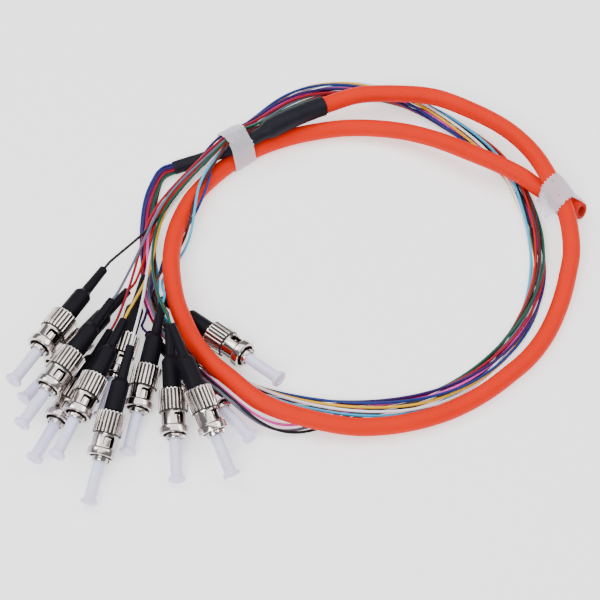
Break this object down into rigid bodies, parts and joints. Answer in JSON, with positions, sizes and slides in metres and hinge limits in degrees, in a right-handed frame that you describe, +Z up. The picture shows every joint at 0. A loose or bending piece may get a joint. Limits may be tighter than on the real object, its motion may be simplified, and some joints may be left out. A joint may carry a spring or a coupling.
{
  "type": "multi-fibre pigtail",
  "caption": "Loop of orange multi-fibre trunk cable whose coloured fibres leave a heat-shrink sleeve and end in bayonet connectors with boots, coupling nuts and dust caps.",
  "frame": {"origin": "middle of the outline seen from above, on the floor that the loop lies on", "axes": "+Z up; +X towards the trunk's cut end, to the right; the connectors lie at -X and -Y"},
  "size_m": [0.1872, 0.1642, 0.0232],
  "materials": {
    "orange_jacket": "satin",
    "heat_shrink": "matte",
    "frosted_tape": "satin",
    "black_boot": "satin",
    "nickel_nut": "polished",
    "milky_cap": "satin",
    "fibre_black": "gloss",
    "fibre_slate": "gloss",
    "fibre_pink": "gloss",
    "fibre_orange": "gloss",
    "fibre_red": "gloss",
    "fibre_yellow": "gloss",
    "fibre_white": "gloss",
    "fibre_aqua": "gloss",
    "fibre_brown": "gloss",
    "fibre_green": "gloss",
    "fibre_violet": "gloss",
    "fibre_blue": "gloss"
  },
  "bodies": {
    "loom": {"trunk_cable": "orange_jacket", "heat_shrink_sleeve": "heat_shrink", "tape_band_bundle": "frosted_tape", "tape_band_crossing": "frosted_tape", "fibre_black": "fibre_black", "fibre_slate": "fibre_slate", "fibre_pink": "fibre_pink", "fibre_orange": "fibre_orange", "fibre_red": "fibre_red", "fibre_yellow": "fibre_yellow", "fibre_white": "fibre_white", "fibre_aqua": "fibre_aqua", "fibre_brown": "fibre_brown", "fibre_green": "fibre_green", "fibre_violet": "fibre_violet", "fibre_blue": "fibre_blue", "connector_body_black": "black_boot", "connector_body_slate": "black_boot", "connector_body_pink": "black_boot", "connector_body_orange": "black_boot", "connector_body_red": "black_boot", "connector_body_yellow": "black_boot", "connector_body_white": "black_boot", "connector_body_aqua": "black_boot", "connector_body_brown": "black_boot", "connector_body_green": "black_boot", "connector_body_violet": "black_boot", "connector_body_blue": "black_boot"},
    "nut_black": {"coupling_nut_black": "nickel_nut"},
    "cap_black": {"dust_cap_black": "milky_cap"},
    "nut_slate": {"coupling_nut_slate": "nickel_nut"},
    "cap_slate": {"dust_cap_slate": "milky_cap"},
    "nut_pink": {"coupling_nut_pink": "nickel_nut"},
    "cap_pink": {"dust_cap_pink": "milky_cap"},
    "nut_orange": {"coupling_nut_orange": "nickel_nut"},
    "cap_orange": {"dust_cap_orange": "milky_cap"},
    "nut_red": {"coupling_nut_red": "nickel_nut"},
    "cap_red": {"dust_cap_red": "milky_cap"},
    "nut_yellow": {"coupling_nut_yellow": "nickel_nut"},
    "cap_yellow": {"dust_cap_yellow": "milky_cap"},
    "nut_white": {"coupling_nut_white": "nickel_nut"},
    "cap_white": {"dust_cap_white": "milky_cap"},
    "nut_aqua": {"coupling_nut_aqua": "nickel_nut"},
    "cap_aqua": {"dust_cap_aqua": "milky_cap"},
    "nut_brown": {"coupling_nut_brown": "nickel_nut"},
    "cap_brown": {"dust_cap_brown": "milky_cap"},
    "nut_green": {"coupling_nut_green": "nickel_nut"},
    "cap_green": {"dust_cap_green": "milky_cap"},
    "nut_violet": {"coupling_nut_violet": "nickel_nut"},
    "cap_violet": {"dust_cap_violet": "milky_cap"},
    "nut_blue": {"coupling_nut_blue": "nickel_nut"},
    "cap_blue": {"dust_cap_blue": "milky_cap"}
  },
  "joints": [
    {"name": "nut_turn_black", "type": "hinge", "parent": "loom", "child": "nut_black", "pos_m": [-0.08021, -0.02622, 0.0129], "axis": [-0.5047, -0.8603, 0.0718], "continuous": true},
    {"name": "cap_pull_black", "type": "slide", "parent": "loom", "child": "cap_black", "axis": [-0.5047, -0.8603, 0.0718], "range_m": [0, 0.012]},
    {"name": "nut_turn_slate", "type": "hinge", "parent": "loom", "child": "nut_slate", "pos_m": [-0.07671, -0.04042, 0.0134], "axis": [-0.5115, -0.858, -0.0479], "continuous": true},
    {"name": "cap_pull_slate", "type": "slide", "parent": "loom", "child": "cap_slate", "axis": [-0.5115, -0.858, -0.0479], "range_m": [0, 0.012]},
    {"name": "nut_turn_pink", "type": "hinge", "parent": "loom", "child": "nut_pink", "pos_m": [-0.05931, -0.03042, 0.0054], "axis": [-0.2373, -0.966, -0.1025], "continuous": true},
    {"name": "cap_pull_pink", "type": "slide", "parent": "loom", "child": "cap_pink", "axis": [-0.2373, -0.966, -0.1025], "range_m": [0, 0.012]},
    {"name": "nut_turn_orange", "type": "hinge", "parent": "loom", "child": "nut_orange", "pos_m": [-0.07571, -0.02872, 0.0047], "axis": [-0.6074, -0.7944, 0], "continuous": true},
    {"name": "cap_pull_orange", "type": "slide", "parent": "loom", "child": "cap_orange", "axis": [-0.6074, -0.7944, 0], "range_m": [0, 0.012]},
    {"name": "nut_turn_red", "type": "hinge", "parent": "loom", "child": "nut_red", "pos_m": [-0.07511, -0.04712, 0.0047], "axis": [-0.4179, -0.9085, 0.006], "continuous": true},
    {"name": "cap_pull_red", "type": "slide", "parent": "loom", "child": "cap_red", "axis": [-0.4179, -0.9085, 0.006], "range_m": [0, 0.012]},
    {"name": "nut_turn_yellow", "type": "hinge", "parent": "loom", "child": "nut_yellow", "pos_m": [-0.06861, -0.04872, 0.0119], "axis": [-0.3678, -0.9289, -0.043], "continuous": true},
    {"name": "cap_pull_yellow", "type": "slide", "parent": "loom", "child": "cap_yellow", "axis": [-0.3678, -0.9289, -0.043], "range_m": [0, 0.012]},
    {"name": "nut_turn_white", "type": "hinge", "parent": "loom", "child": "nut_white", "pos_m": [-0.06181, -0.06062, 0.0088], "axis": [-0.2294, -0.9339, -0.2741], "continuous": true},
    {"name": "cap_pull_white", "type": "slide", "parent": "loom", "child": "cap_white", "axis": [-0.2294, -0.9339, -0.2741], "range_m": [0, 0.012]},
    {"name": "nut_turn_aqua", "type": "hinge", "parent": "loom", "child": "nut_aqua", "pos_m": [-0.05161, -0.04272, 0.0064], "axis": [-0.1881, -0.9677, -0.1676], "continuous": true},
    {"name": "cap_pull_aqua", "type": "slide", "parent": "loom", "child": "cap_aqua", "axis": [-0.1881, -0.9677, -0.1676], "range_m": [0, 0.012]},
    {"name": "nut_turn_brown", "type": "hinge", "parent": "loom", "child": "nut_brown", "pos_m": [-0.04171, -0.05202, 0.0074], "axis": [0.0699, -0.9746, -0.213], "continuous": true},
    {"name": "cap_pull_brown", "type": "slide", "parent": "loom", "child": "cap_brown", "axis": [0.0699, -0.9746, -0.213], "range_m": [0, 0.012]},
    {"name": "nut_turn_green", "type": "hinge", "parent": "loom", "child": "nut_green", "pos_m": [-0.03161, -0.05372, 0.012], "axis": [0.3782, -0.8615, -0.3387], "continuous": true},
    {"name": "cap_pull_green", "type": "slide", "parent": "loom", "child": "cap_green", "axis": [0.3782, -0.8615, -0.3387], "range_m": [0, 0.012]},
    {"name": "nut_turn_violet", "type": "hinge", "parent": "loom", "child": "nut_violet", "pos_m": [-0.03201, -0.04332, 0.0048], "axis": [0.6612, -0.75, 0.015], "continuous": true},
    {"name": "cap_pull_violet", "type": "slide", "parent": "loom", "child": "cap_violet", "axis": [0.6612, -0.75, 0.015], "range_m": [0, 0.012]},
    {"name": "nut_turn_blue", "type": "hinge", "parent": "loom", "child": "nut_blue", "pos_m": [-0.02531, -0.02622, 0.0054], "axis": [0.7555, -0.6475, 0.0995], "continuous": true},
    {"name": "cap_pull_blue", "type": "slide", "parent": "loom", "child": "cap_blue", "axis": [0.7555, -0.6475, 0.0995], "range_m": [0, 0.012]}
  ]
}
